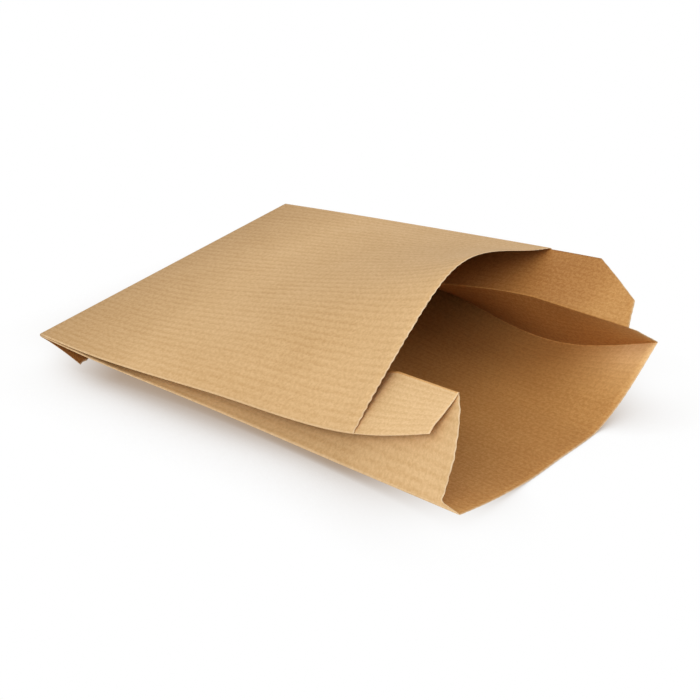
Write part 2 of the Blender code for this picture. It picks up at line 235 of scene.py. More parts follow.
class Sections:
    """Cross-sections of the open bag, as points (y, z) for arrays of places x along it."""

    def __init__(self, bag):
        self.bag = bag
        self.half_width = bag.width / 2.0
        self.radius = bag.crease_radius
        self.arch_grid = np.linspace(0.0, 1.0, ARCH_STEPS)
        self.arch_places = np.linspace(0.0, bag.front_length, ARCH_PLACES)
        self.arch_runs_at_places = self.arch_runs()

    def crease(self, side, table, x):
        """Pins of a crease from its insets and heights at the stations."""
        insets, heights = table[side]
        y = side * (self.half_width - through(insets, x))
        return np.stack((y, through(heights, x)), axis=-1)

    def front(self, side, x):
        """Pins of a front crease."""
        return self.crease(side, FRONT_CREASE, x)

    def back(self, side, x):
        """Pins of a back crease."""
        return self.crease(side, BACK_CREASE, x)

    def fold(self, side, x):
        """Pins of a gusset fold, which runs straight from the throat to the mouth."""
        share = np.clip((x - THROAT_STATION) / (MOUTH_STATION - THROAT_STATION), 0.0, 2.0)
        throat = self.bowed_fold(side, np.array(THROAT_STATION))
        mouth = self.bowed_fold(side, np.array(MOUTH_STATION))
        inner = self.bowed_fold(side, np.minimum(x, THROAT_STATION))
        return inner + (mouth - throat) * share[..., None]

    def bowed_fold(self, side, x):
        """Pins of a gusset fold: each half's width away from the front and the back crease."""
        upper = self.bag.gusset_half - through(UPPER_BOW[side], x)
        lower = self.bag.gusset_half - through(LOWER_BOW[side], x)
        front = self.front(side, x)
        along = self.back(side, x) - front
        gap = np.linalg.norm(along, axis=-1)
        along = unit(along)
        reach = (upper ** 2 - lower ** 2 + gap ** 2) / (2.0 * gap)
        inward = np.sqrt(np.maximum(upper ** 2 - reach ** 2, 0.0))
        normal = np.stack((-along[..., 1], along[..., 0]), axis=-1)
        normal = normal * np.where(normal[..., 0] * side > 0.0, -1.0, 1.0)[..., None]
        opened_fold = front + along * reach[..., None] + normal * inward[..., None]
        stack = unit(self.front(-side, x) - front)
        flat_reach = np.sqrt(np.maximum(upper ** 2 - gap ** 2 / 4.0, 0.0))
        pressed_fold = front + along * gap[..., None] / 2.0 + stack * flat_reach[..., None]
        opened = smoothstep((x - FLAP_STATION) / (BELLY_STATION - FLAP_STATION))
        return pressed_fold + (opened_fold - pressed_fold) * opened[..., None]

    def arch(self, v, x):
        """Front panel's centre line from near to far, with its tangents."""
        start = self.front(NEAR, x)
        end = self.front(FAR, x)
        chord = end - start
        length = np.linalg.norm(chord, axis=-1)
        tilt = np.arctan2(chord[..., 1], chord[..., 0])
        near = heading(tilt + through(ARCH_NEAR_SLOPE, x))
        far = heading(tilt + through(ARCH_FAR_SLOPE, x))
        near_handle = start + near * (through(ARCH_NEAR_REACH, x) * length)[..., None]
        far_handle = end - far * (through(ARCH_FAR_REACH, x) * length)[..., None]
        points = (start, near_handle, far_handle, end)
        weights = ((1 - v) ** 3, 3 * (1 - v) ** 2 * v, 3 * (1 - v) * v ** 2, v ** 3)
        place = sum(w * p for w, p in zip(weights, points))
        slopes = ((1 - v) ** 2, 2 * (1 - v) * v, v ** 2)
        tangent = sum(w * (b - a) for w, a, b in zip(slopes, points, points[1:]))
        return place, tangent

    def arch_runs(self):
        """Shares of the arch's length at an even grid of its parameter, for a row of places."""
        places = np.stack([self.arch(v, self.arch_places)[0] for v in self.arch_grid])
        steps = np.linalg.norm(np.diff(places, axis=0), axis=-1)
        run = np.concatenate((np.zeros((1,) + steps.shape[1:]), np.cumsum(steps, axis=0)))
        return run / run[-1]

    def even_arch(self, share, x):
        """Front panel's centre line at a share of its length from the near crease."""
        at_places = [np.interp(share, run, self.arch_grid) for run in self.arch_runs_at_places.T]
        v = np.interp(x, self.arch_places, at_places)
        return self.arch(v[:, None], x)

    def belly_height(self, x, y):
        """Height of the back panel's centre line."""
        near = self.back(NEAR, x)
        far = self.back(FAR, x)
        flat_near = BELLY_NEAR_MARGIN - self.half_width
        flat_far = self.half_width - BELLY_FAR_MARGIN
        near_share = np.clip((flat_near - y) / (flat_near - near[..., 0]), 0.0, 1.0)
        far_share = np.clip((y - flat_far) / (far[..., 0] - flat_far), 0.0, 1.0)
        trough = near[..., 1] * near_share ** BELLY_NEAR_POWER
        trough = trough + far[..., 1] * far_share ** BELLY_FAR_POWER
        across = (y - near[..., 0]) / (far[..., 0] - near[..., 0])
        straight = near[..., 1] + (far[..., 1] - near[..., 1]) * across
        return straight + (trough - straight) * smoothstep(x / BELLY_START)

    def belly(self, share, x):
        """Back panel's centre line from far to near, with its tangents."""
        far = self.back(FAR, x)[..., 0]
        near = self.back(NEAR, x)[..., 0]
        y = far + (near - far) * share
        step = 0.0002
        ahead = np.maximum(y - step, near)
        behind = np.minimum(y + step, far)
        rise = self.belly_height(x, ahead) - self.belly_height(x, behind)
        place = np.stack((y, self.belly_height(x, y)), axis=-1)
        return place, np.stack((ahead - behind, rise), axis=-1)

    def panel(self, line, v, x):
        """Panel one pin's radius outside its centre line, with its normals."""
        place, tangent = line(v, x)
        normal = left_of(tangent)
        return place + normal * self.radius, normal

    def half(self, v, start, end, start_side, sag, x):
        """Gusset half from one pin to the next, bowed by sag between them, with its normals."""
        a = start(x)
        b = end(x)
        normal = left_of(b - a)
        side_step = start_side * self.radius * (1.0 - 2.0 * v)
        opened = smoothstep((x - BELLY_STATION) / (MOUTH_STATION - BELLY_STATION))
        bow = sag * math.sin(math.pi * v) * opened
        return a + (b - a) * v + normal * (side_step + bow)[..., None], normal

    def bend(self, t, pin, side, arriving, leaving, x):
        """Bend round a pin, from the panel that arrives to the one that leaves, with normals."""
        a = arriving(x)
        b = leaving(x)
        start = np.arctan2(a[..., 1], a[..., 0])
        turn = (np.arctan2(b[..., 1], b[..., 0]) - start) % (2.0 * math.pi)
        if side > 0:
            turn = turn - 2.0 * math.pi
        angle = start + turn * t
        place = pin(x) + left_of(heading(angle)) * self.radius * side
        return place, unit(place - pin(x)) * side


# How finely the sheet is divided: columns across the panels and rows along the bag
FRONT_COLUMNS = 300
GUSSET_COLUMNS = 54
BACK_COLUMNS = 200
BEND_COLUMNS = 3
THROAT_ROWS = 36
MOUTH_ROWS = 16
TURN_ROWS = 6
FLAP_ROWS = 10

# How the sheet departs from clean curves: sagging halves, waves that die out at the creases,
# and a knife that strays
NEAR_LOWER_SAG = 0.0020
FAR_UPPER_SAG = 0.0015
WAVE_HEIGHT = 0.0006
WAVE_SIZE = 0.045
WAVE_MARGIN = 0.02
WAVE_SEED = 3.7
CUT_WANDER = 0.0005
CUT_WANDER_SIZE = 0.030
CUT_WANDER_SEED = (8.1, 0.4)

# The glued flap: its gap under the back panel, and how its near corner peels off
FLAP_GAP = 0.0003
FLAP_PEEL = 0.0050
FLAP_PEEL_WIDTH = 0.045
FLAP_PEEL_RISE = 1.5

# How deep the knife's teeth show on each cut edge, as a share of the tooth depth
FRONT_TEETH = 1.0
FAR_TEETH = 0.25
BACK_TEETH = 0.25
NEAR_LOWER_TEETH = 0.9
NEAR_UPPER_TEETH = 0.2

# How the depth varies from tooth to tooth, round its share of the full depth
TOOTH_SHARE = 0.75
TOOTH_SWING = 0.6
TOOTH_WANDER_SIZE = 0.006
TOOTH_SEED = (5.3, 2.2)

# A distance from the cut at which no pale edge of torn fibres and painted highlight shows
CLEAR_OF_CUT = 0.05

# Painted light and shade on the paper, as tables of places and values along the bag, and for the
# back panel's edge across it from the far side: the front panel darker towards the bottom end and
# lighter towards the mouth and on the near gusset's stub, the gusset halves darker towards the
# bottom end and lighter at the mouth, the back panel darker deep inside and lighter by its far
# crease near the mouth, and the flap darker under the bag
FRONT_PAINTED_LIGHT = ((0.0, 0.06, 0.14, 0.19, 0.21, 0.26), (0.84, 1.02, 0.97, 1.04, 1.16, 1.20))
NEAR_LOWER_PAINTED_LIGHT = ((0.0, 0.05, 0.075, 0.10, 0.14, 0.19, 0.215, 0.24, 0.27),
                   (0.66, 0.70, 1.02, 1.02, 0.94, 0.90, 1.0, 1.06, 1.06))
FAR_UPPER_PAINTED_LIGHT = ((0.0, 0.20, 0.22, 0.235, 0.27), (0.86, 0.87, 0.92, 1.03, 1.02))
FAR_LOWER_PAINTED_LIGHT = ((0.0, 0.21, 0.245, 0.27), (0.84, 0.85, 0.93, 0.94))
BACK_PAINTED_LIGHT = ((0.0, 0.05, 0.12, 0.22, 0.40, 0.70, 1.0), (1.35, 1.30, 1.16, 1.02, 0.95, 0.94, 1.0))
BACK_DEEP_PAINTED_SHADE = 0.94
BACK_PAINTED_LIGHT_PLACES = (0.0, 0.20, 0.24, 0.27)
FLAP_PAINTED_SHADE = 0.62
# No painted light or shade on the bends round the pins
NO_PAINTED_LIGHT = ((0.0, 1.0), (1.0, 1.0))


def table_at(table, v):
    """Value at v of a table of places and values."""
    places, values = table
    return float(np.interp(v, places, values))


def sheet_columns(bag, sections):
    """Columns of the belt in order, as dictionaries.

    point gives (y, z) and the outward normal for places x, across is the place across the bag,
    run is the place in the flat sheet, fold the distance to the nearest crease, and cut the
    length at which the sheet is cut, or None on the front panel. teeth is the share of the tooth
    depth at the cut, and painted_light the table of painted light and shade on the paper.
    """
    columns = []
    run = 0.0

    def add(point, across, cut, run, fold, teeth, painted_light):
        columns.append({"point": point, "across": across, "cut": cut, "run": run, "fold": fold,
                        "teeth": teeth, "painted_light": painted_light})

    def half_columns(start, end, start_side, sag, across, cut_table, teeth, painted_light):
        nonlocal run
        edge = bag.back_length - bag.cut_skew * across
        for i in range(GUSSET_COLUMNS + 1):
            v = i / GUSSET_COLUMNS
            fold = min(v, 1.0 - v) * bag.gusset_half
            line = partial(sections.half, v, start, end, start_side, sag)
            cut = edge - table_at(cut_table, v)
            add(line, across, cut, run + v * bag.gusset_half, fold, teeth, painted_light)
        run += bag.gusset_half

    def bend_columns(pin, side, arriving, leaving, across, cut):
        for i in range(1, BEND_COLUMNS):
            line = partial(sections.bend, i / BEND_COLUMNS, pin, side, arriving, leaving)
            add(line, across, cut, run, 0.0, 0.0, NO_PAINTED_LIGHT)

    near_front, far_front = (partial(sections.front, side) for side in (NEAR, FAR))
    near_back, far_back = (partial(sections.back, side) for side in (NEAR, FAR))
    near_fold, far_fold = (partial(sections.fold, side) for side in (NEAR, FAR))

    def chord(start, end):
        return lambda x: end(x) - start(x)

    def arch_end(v):
        return lambda x: sections.arch(v, x)[1]

    def belly_end(share):
        return lambda x: sections.belly(share, x)[1]

    near_edge = bag.back_length
    far_edge = bag.back_length - bag.cut_skew

    for i in range(FRONT_COLUMNS + 1):
        v = i / FRONT_COLUMNS
        fold = min(v, 1.0 - v) * bag.width
        line = partial(sections.panel, sections.even_arch, v)
        add(line, v, None, v * bag.width, fold, FRONT_TEETH, FRONT_PAINTED_LIGHT)
    run = bag.width
    bend_columns(far_front, 1, arch_end(1.0), chord(far_front, far_fold), 1.0, None)
    half_columns(far_front, far_fold, 1, FAR_UPPER_SAG, 1.0, FAR_UPPER_CUT, FAR_TEETH,
                 FAR_UPPER_PAINTED_LIGHT)
    bend_columns(far_fold, -1, chord(far_front, far_fold), chord(far_fold, far_back), 1.0,
                 far_edge - table_at(FAR_UPPER_CUT, 1.0))
    half_columns(far_fold, far_back, -1, 0.0, 1.0, FAR_LOWER_CUT, FAR_TEETH, FAR_LOWER_PAINTED_LIGHT)
    bend_columns(far_back, 1, chord(far_fold, far_back), belly_end(0.0), 1.0, far_edge)
    for i in range(BACK_COLUMNS + 1):
        v = i / BACK_COLUMNS
        fold = min(v, 1.0 - v) * bag.width
        cut = near_edge - bag.cut_skew * (1.0 - v)
        # Painted shade deep inside the back panel, and painted light and shade across it near the
        # mouth, lighter by the far crease
        edge_painted_light = table_at(BACK_PAINTED_LIGHT, v)
        painted_light = (BACK_PAINTED_LIGHT_PLACES, (BACK_DEEP_PAINTED_SHADE, BACK_DEEP_PAINTED_SHADE, edge_painted_light, edge_painted_light))
        line = partial(sections.panel, sections.belly, v)
        add(line, 1.0 - v, cut, run + v * bag.width, fold, BACK_TEETH, painted_light)
    run += bag.width
    bend_columns(near_back, 1, belly_end(1.0), chord(near_back, near_fold), 0.0, near_edge)
    half_columns(near_back, near_fold, 1, NEAR_LOWER_SAG, 0.0, NEAR_LOWER_CUT, NEAR_LOWER_TEETH,
                 NEAR_LOWER_PAINTED_LIGHT)
    bend_columns(near_fold, -1, chord(near_back, near_fold), chord(near_fold, near_front), 0.0,
                 near_edge - table_at(NEAR_LOWER_CUT, 1.0))
    half_columns(near_fold, near_front, -1, 0.0, 0.0, NEAR_UPPER_CUT, NEAR_UPPER_TEETH, FRONT_PAINTED_LIGHT)
    bend_columns(near_front, 1, chord(near_fold, near_front), arch_end(0.0), 0.0, None)
    return columns


def wave(run, x):
    """Soft unevenness of the sheet at a place in it, from -1 to 1."""
    return noise.noise(Vector((run / WAVE_SIZE, x / WAVE_SIZE, WAVE_SEED)))


def wander(run):
    """How far the knife strayed at a place along the cut."""
    return noise.noise(Vector((run / CUT_WANDER_SIZE, *CUT_WANDER_SEED))) * CUT_WANDER


def tooth_share(run):
    """How deep the teeth are at a place along the cut, as a share of an even row's depth."""
    return TOOTH_SHARE + TOOTH_SWING * noise.noise(Vector((run / TOOTH_WANDER_SIZE, *TOOTH_SEED)))


def column_points(column, places):
    """Points of a column at places along the bag, with the sheet's soft waves."""
    flat, normal = column["point"](places)
    clear = float(smoothstep(column["fold"] / WAVE_MARGIN))
    loose = smoothstep((places - FLAP_STATION) / BELLY_START) * clear
    lift = np.array([wave(column["run"], x) for x in places]) * WAVE_HEIGHT * loose
    flat = flat + normal * lift[:, None]
    return np.column_stack((places, flat))


def throat_place(bag, column):
    """Place along the bag at which the front panel is cut, in line with a column."""
    return bag.front_length - bag.cut_skew * column["across"]


def sheet_width(bag):
    """Width of the flat sheet, once round the bag."""
    return 2.0 * bag.width + 4.0 * bag.gusset_half


def sheet_mesh(bag):
    """The whole sheet as a surface without thickness, facing out, with its flat coordinates."""
    sections = Sections(bag)
    columns = sheet_columns(bag, sections)
    total = sheet_width(bag)
    shape = bmesh.new()
    flat_uv = shape.loops.layers.uv.new("sheet")
    fold_layer = shape.verts.layers.float.new("fold_distance")
    cut_layer = shape.verts.layers.float.new("cut_distance")
    run_layer = shape.verts.layers.float.new("cut_run")
    # Painted light and shade, carried on every vertex
    painted_light_layer = shape.verts.layers.float.new("painted_light")
    way_layer = shape.verts.layers.float_vector.new("cut_way")
    spots = {}

    def vert(place, run, x, fold, cut, painted_light):
        made = shape.verts.new(place)
        made[painted_light_layer] = painted_light
        made[fold_layer] = fold
        made[cut_layer] = cut
        made[run_layer] = run
        spots[made] = (run, x)
        return made

    def quad(corners):
        face = shape.faces.new(corners)
        face.smooth = True
        runs = [spots[corner][0] for corner in corners]
        wraps = max(runs) - min(runs) > total / 2.0
        for loop in face.loops:
            run, x = spots[loop.vert]
            if wraps and run < total / 2.0:
                run += total
            loop[flat_uv].uv = (run, x)

    def column_line(column, places, cut_gaps):
        points = column_points(column, places)
        return [vert(point, column["run"], x, column["fold"], gap, table_at(column["painted_light"], x))
                for point, x, gap in zip(points, places, cut_gaps)]

    def strip(here, there):
        for row in range(len(here) - 1):
            quad((here[row], here[row + 1], there[row + 1], there[row]))

    # From the bottom edge to the throat the sheet is closed all round
    throat_lines = []
    for column in columns:
        throat = throat_place(bag, column)
        if column["cut"] is None:
            throat += wander(column["run"])
        cut = throat if column["cut"] is None else column["cut"]
        places = throat * np.linspace(0.0, 1.0, THROAT_ROWS + 1)
        throat_lines.append(column_line(column, places, cut - places))
    for here, there in zip(throat_lines, throat_lines[1:] + throat_lines[:1]):
        strip(here, there)

    # From the throat to the mouth the back panel and the gussets go on without the front panel
    open_columns = [i for i, column in enumerate(columns) if column["cut"] is not None]
    mouth_lines = []
    for i in open_columns:
        column = columns[i]
        throat = throat_place(bag, column)
        cut = column["cut"] + wander(column["run"])
        places = throat + (cut - throat) * np.linspace(0.0, 1.0, MOUTH_ROWS + 1)[1:]
        mouth_lines.append([throat_lines[i][-1]] + column_line(column, places, cut - places))
    for here, there in zip(mouth_lines, mouth_lines[1:]):
        strip(here, there)

    # The way to the cut at every cut edge, which the teeth follow
    front_lines = throat_lines[:FRONT_COLUMNS + 1]
    cut_lines = list(zip(columns, front_lines))
    cut_lines += [(columns[i], line) for i, line in zip(open_columns, mouth_lines)]
    for column, line in cut_lines:
        way = (line[-1].co - line[-2].co).normalized()
        line[-1][way_layer] = way * column["teeth"] * tooth_share(column["run"])

    def flap_line(column, start):
        run = column["run"]
        y = start.co.y
        top = start.co.z
        back_height = float(sections.belly_height(np.array(0.0), np.array(y)))
        under = back_height - bag.crease_radius - FLAP_GAP
        radius = (top - under) / 2.0
        turn_fold = min(column["fold"], radius * 2.0)
        # The turn round the bottom edge takes the front panel's painted shade at the bottom end
        turn_painted_light = table_at(FRONT_PAINTED_LIGHT, 0.0)
        line = [start]
        for i in range(1, TURN_ROWS + 1):
            angle = math.pi * i / TURN_ROWS
            height = (top + under) / 2.0 + radius * math.cos(angle)
            place = (-radius * math.sin(angle), y, height)
            line.append(vert(place, run, -radius * angle, turn_fold, CLEAR_OF_CUT, turn_painted_light))
        near_edge = sections.back(NEAR, np.array(bag.flap_length))[0]
        peel_share = min(max((near_edge + FLAP_PEEL_WIDTH - y) / FLAP_PEEL_WIDTH, 0.0), 1.0)
        for row in range(1, FLAP_ROWS + 1):
            share = row / FLAP_ROWS
            x = bag.flap_length * share
            near = sections.back(NEAR, np.array(x))[0]
            far = sections.back(FAR, np.array(x))[0]
            inside = min(max(y, near), far)
            height = float(sections.belly_height(np.array(x), np.array(inside)))
            peel = FLAP_PEEL * share ** FLAP_PEEL_RISE * peel_share ** 2
            height -= bag.crease_radius + FLAP_GAP + peel
            cut = bag.flap_length - x
            flat_x = -radius * math.pi - x
            # The flap is darkened by painted shade under the bag
            line.append(vert((x, y, height), run, flat_x, column["fold"], cut, FLAP_PAINTED_SHADE))
        return line

    # The flap turns round the bottom edge and comes back under the back panel
    flap_lines = [flap_line(column, line[0]) for column, line in zip(columns, front_lines)]
    for here, there in zip(flap_lines, flap_lines[1:]):
        for row in range(TURN_ROWS + FLAP_ROWS):
            quad((here[row + 1], here[row], there[row], there[row + 1]))
    for line in flap_lines:
        line[-1][way_layer] = (line[-1].co - line[-2].co).normalized() * FRONT_TEETH

    for made in shape.verts:
        made.co += Vector(BAG_SHIFT)
        made.co.z = max(made.co.z, bag.paper)
    mesh = bpy.data.meshes.new("folded_sheet")
    shape.to_mesh(mesh)
    shape.free()
    return mesh


class NodeBench:
    """Adds nodes to one tree."""

    def __init__(self, tree):
        self.tree = tree

    def add(self, kind, **settings):
        """New node with its settings."""
        made = self.tree.nodes.new(kind)
        for key, value in settings.items():
            setattr(made, key, value)
        return made

    def feed(self, socket, value):
        """Link a socket to another, or give it a plain value."""
        if isinstance(value, bpy.types.NodeSocket):
            self.tree.links.new(value, socket)
        else:
            socket.default_value = value

    def math(self, operation, a, b=0.0, c=0.0):
        """Arithmetic on up to three values."""
        made = self.add("ShaderNodeMath", operation=operation)
        for socket, value in zip(made.inputs, (a, b, c)):
            self.feed(socket, value)
        return made.outputs[0]

    def weighted(self, *parts):
        """Sum of values, each times its share."""
        products = [self.math("MULTIPLY", value, share) for value, share in parts]
        total = products.pop()
        while products:
            total = self.math("ADD", products.pop(), total)
        return total

    def scaled(self, vector, scale):
        """Vector or colour times a number."""
        made = self.add("ShaderNodeVectorMath", operation="SCALE")
        self.feed(made.inputs[0], vector)
        self.feed(made.inputs["Scale"], scale)
        return made.outputs["Vector"]

    def ease(self, value, low, high, start=0.0, end=1.0):
        """Map value from low..high to start..end, clamped."""
        made = self.add("ShaderNodeMapRange", interpolation_type="SMOOTHSTEP")
        self.feed(made.inputs["Value"], value)
        self.feed(made.inputs["From Min"], low)
        self.feed(made.inputs["From Max"], high)
        self.feed(made.inputs["To Min"], start)
        self.feed(made.inputs["To Max"], end)
        return made.outputs["Result"]

    def mix(self, factor, a, b):
        """Colour between a and b."""
        made = self.add("ShaderNodeMix", data_type="RGBA")
        self.feed(made.inputs[0], factor)
        self.feed(made.inputs[6], a)
        self.feed(made.inputs[7], b)
        return made.outputs[2]

    def noise(self, flat, scales, shift, detail, roughness):
        """Noise on the flat sheet's coordinates."""
        place = self.add("ShaderNodeMapping")
        self.feed(place.inputs["Vector"], flat)
        place.inputs["Location"].default_value = (shift, shift, shift)
        place.inputs["Scale"].default_value = (*scales, 1.0)
        made = self.add("ShaderNodeTexNoise")
        self.feed(made.inputs["Vector"], place.outputs["Vector"])
        self.feed(made.inputs["Scale"], 1.0)
        self.feed(made.inputs["Detail"], detail)
        self.feed(made.inputs["Roughness"], roughness)
        return made.outputs["Fac"]

    def attribute(self, name):
        """Number that the sheet carries under a name."""
        return self.add("ShaderNodeAttribute", attribute_name=name).outputs["Fac"]

    def seen(self):
        """1 where a ray shows the camera something, straight or by way of metal or glass."""
        path = self.add("ShaderNodeLightPath")
        by_way = self.math("MAXIMUM", path.outputs["Is Glossy Ray"],
                           path.outputs["Is Transmission Ray"])
        return self.math("MAXIMUM", path.outputs["Is Camera Ray"], by_way)


def add_sockets(tree, way, sockets):
    """Add a tree's named inputs or outputs."""
    for name, kind in sockets:
        tree.interface.new_socket(name, in_out=way, socket_type=kind)


def serration_tree():
    """Geometry Nodes that cut teeth along the sheet's cut edges."""
    tree = bpy.data.node_groups.new("serrated_edge", "GeometryNodeTree")
    add_sockets(tree, "INPUT", (
        ("Geometry", "NodeSocketGeometry"), ("Tooth Pitch", "NodeSocketFloat"),
        ("Tooth Depth", "NodeSocketFloat"), ("Paper", "NodeSocketMaterial")))
    add_sockets(tree, "OUTPUT", (("Geometry", "NodeSocketGeometry"),))
    bench = NodeBench(tree)
    entry = bench.add("NodeGroupInput")
    exit_node = bench.add("NodeGroupOutput")
    run = bench.add("GeometryNodeInputNamedAttribute", data_type="FLOAT")
    run.inputs["Name"].default_value = "cut_run"
    way = bench.add("GeometryNodeInputNamedAttribute", data_type="FLOAT_VECTOR")
    way.inputs["Name"].default_value = "cut_way"

    # The zigzag goes from 0 to a half and back over each tooth, so twice of it is a full depth
    teeth = bench.math("DIVIDE", run.outputs["Attribute"], entry.outputs["Tooth Pitch"])
    zigzag = bench.math("PINGPONG", teeth, 0.5)
    half_depth = bench.math("MULTIPLY", zigzag, entry.outputs["Tooth Depth"])
    back = bench.scaled(way.outputs["Attribute"], bench.math("MULTIPLY", half_depth, -2.0))

    move = bench.add("GeometryNodeSetPosition")
    bench.feed(move.inputs["Geometry"], entry.outputs["Geometry"])
    bench.feed(move.inputs["Offset"], back)
    real = bench.add("GeometryNodeRealizeInstances")
    bench.feed(real.inputs["Geometry"], move.outputs["Geometry"])
    paint = bench.add("GeometryNodeSetMaterial")
    bench.feed(paint.inputs["Geometry"], real.outputs["Geometry"])
    bench.feed(paint.inputs["Material"], entry.outputs["Paper"])
    bench.feed(exit_node.inputs["Geometry"], paint.outputs["Geometry"])
    return tree


def socket_id(tree, name):
    """Identifier of a tree's input."""
    for item in tree.interface.items_tree:
        if item.item_type == "SOCKET" and item.in_out == "INPUT" and item.name == name:
            return item.identifier
    raise KeyError(name)


# Ribs of the paper: how far apart the wide and the fine ones lie, and how far they stray
WIDE_RIB_PITCH = 0.0043
WIDE_RIB_STRAY = 0.0014
FINE_RIB_PITCH = 0.00215
FINE_RIB_STRAY = 0.0006
WIDE_RIB_FADE = 0.55

# Shares of ribs and fibres in the paper's darker lines and in its relief
WIDE_RIB_LINES = 0.85
FINE_RIB_LINES = 0.15
WIDE_RIB_RELIEF = 0.4
FINE_RIB_RELIEF = 0.5
FIBRE_RELIEF = 0.5

# Noise on the flat sheet: scales round the bag and along it, shift, detail, roughness
RIB_STRAY_NOISE = ((60.0, 9.0), 0.0, 2.0, 0.5)
RIB_FADE_NOISE = ((90.0, 25.0), 4.0, 2.0, 0.5)
FIBRE_NOISE = ((1500.0, 1100.0), 2.0, 2.0, 0.6)
DASH_NOISE = ((620.0, 560.0), 6.0, 1.0, 0.5)
CLOUD_NOISE = ((75.0, 60.0), 1.0, 3.0, 0.55)
BROAD_NOISE = ((17.0, 13.0), 9.0, 2.0, 0.5)
WEAR_AND_HIGHLIGHT_NOISE = ((300.0, 300.0), 5.0, 2.0, 0.6)

# The part of each noise that is spread from none to full
NOISE_RANGE = (0.3, 0.7)
RIB_FADE_RANGE = (0.35, 0.65)
DASH_RANGE = (0.36, 0.66)
WEAR_AND_HIGHLIGHT_RANGE = (0.25, 0.75)

# How wide the pale lines on the creases and along the cut edges are, partly rubbed and torn fibres
# and partly painted highlight, and how far they fade in patches
CREASE_WEAR_AND_HIGHLIGHT_WIDTH = 0.0009
EDGE_WEAR_AND_HIGHLIGHT_START = 0.0002
EDGE_WEAR_AND_HIGHLIGHT_END = 0.0011
WEAR_AND_HIGHLIGHT_FADE = 0.35

# Surface of the paper: roughness between the ribs and in them, height of the relief, gloss
PAPER_ROUGHNESS = (0.62, 0.80)
RELIEF_HEIGHT = 0.00012
PAPER_SPECULAR = 0.45

# Finish of the outer face, and what differs on the inner face and on the cut rim
OUTSIDE_FINISH = {
    # Painted Shade Depth sets how much deeper the colour grows in painted shade
    "Rib Contrast": 0.31, "Fibre Contrast": 0.32, "Cloud Contrast": 0.12, "Painted Shade Depth": 0.6,
    "Crease Wear And Highlight": 0.32, "Edge Wear And Highlight": 0.85, "Bump Strength": 0.28}
INSIDE_FINISH = OUTSIDE_FINISH | {
    "Rib Contrast": 0.24, "Fibre Contrast": 0.44, "Painted Shade Depth": 1.2, "Crease Wear And Highlight": 0.0,
    "Edge Wear And Highlight": 0.6}
RIM_FINISH = OUTSIDE_FINISH | {"Rib Contrast": 0.1, "Bump Strength": 0.0}

# The sheet's material slots: outer face, inner face and rim
OUTSIDE_SLOT = 0
INSIDE_SLOT = 1
RIM_SLOT = 2


def ribbed_kraft_group():
    """Colour, roughness and relief of ribbed kraft paper on the flat sheet's coordinates, with the
    sheet's painted light and shade.
    """
    group = bpy.data.node_groups.new("ribbed_kraft", "ShaderNodeTree")
    add_sockets(group, "INPUT", (
        ("Paper Colour", "NodeSocketColor"), ("Rib Colour", "NodeSocketColor"),
        ("Rib Contrast", "NodeSocketFloat"), ("Fibre Contrast", "NodeSocketFloat"),
        ("Cloud Contrast", "NodeSocketFloat"), ("Painted Shade Depth", "NodeSocketFloat")))
    add_sockets(group, "OUTPUT", (
        ("Colour", "NodeSocketColor"), ("Roughness", "NodeSocketFloat"),
        ("Relief", "NodeSocketFloat")))
    bench = NodeBench(group)
    entry = bench.add("NodeGroupInput")
    exit_node = bench.add("NodeGroupOutput")
    flat = bench.add("ShaderNodeUVMap", uv_map="sheet").outputs["UV"]
    run = bench.add("ShaderNodeSeparateXYZ")
    bench.feed(run.inputs[0], flat)
    drift = bench.noise(flat, *RIB_STRAY_NOISE)

    def ribs(pitch, stray):
        place = bench.math("MULTIPLY_ADD", drift, stray, run.outputs["X"])
        swing = bench.math("SINE", bench.math("MULTIPLY", place, 2.0 * math.pi / pitch))
        return bench.ease(swing, -1.0, 1.0)

    fade = bench.ease(bench.noise(flat, *RIB_FADE_NOISE), *RIB_FADE_RANGE, WIDE_RIB_FADE, 1.0)
    wide = bench.math("MULTIPLY", ribs(WIDE_RIB_PITCH, WIDE_RIB_STRAY), fade)
    fine = ribs(FINE_RIB_PITCH, FINE_RIB_STRAY)
    lines = bench.weighted((wide, WIDE_RIB_LINES), (fine, FINE_RIB_LINES))
    fibres = bench.noise(flat, *FIBRE_NOISE)
    dashes = bench.ease(bench.noise(flat, *DASH_NOISE), *DASH_RANGE)
    fuzz = bench.math("ADD", bench.ease(fibres, *NOISE_RANGE), dashes)
    small_clouds = bench.ease(bench.noise(flat, *CLOUD_NOISE), *NOISE_RANGE)
    broad_clouds = bench.ease(bench.noise(flat, *BROAD_NOISE), *NOISE_RANGE)
    clouds = bench.math("ADD", small_clouds, broad_clouds)
    share = bench.weighted((lines, entry.outputs["Rib Contrast"]),
                           (fuzz, entry.outputs["Fibre Contrast"]),
                           (clouds, entry.outputs["Cloud Contrast"]))
    share.node.use_clamp = True
    colour = bench.mix(share, entry.outputs["Paper Colour"], entry.outputs["Rib Colour"])

    # Painted light and shade: where the paper is painted darker its colour is also deeper, and
    # where painted lighter, paler
    painted_light = bench.attribute("painted_light")
    depth = bench.math("MULTIPLY", bench.math("SUBTRACT", 1.0, painted_light), entry.outputs["Painted Shade Depth"])
    deep = bench.add("ShaderNodeGamma")
    bench.feed(deep.inputs["Color"], colour)
    bench.feed(deep.inputs["Gamma"], bench.math("ADD", 1.0, depth))
    bench.feed(exit_node.inputs["Colour"], bench.scaled(deep.outputs["Color"], painted_light))
    bench.feed(exit_node.inputs["Roughness"], bench.ease(share, 0.0, 1.0, *PAPER_ROUGHNESS))
    relief = bench.weighted((fine, FINE_RIB_RELIEF), (wide, WIDE_RIB_RELIEF),
                            (fibres, FIBRE_RELIEF))
    bench.feed(exit_node.inputs["Relief"], relief)
    return group


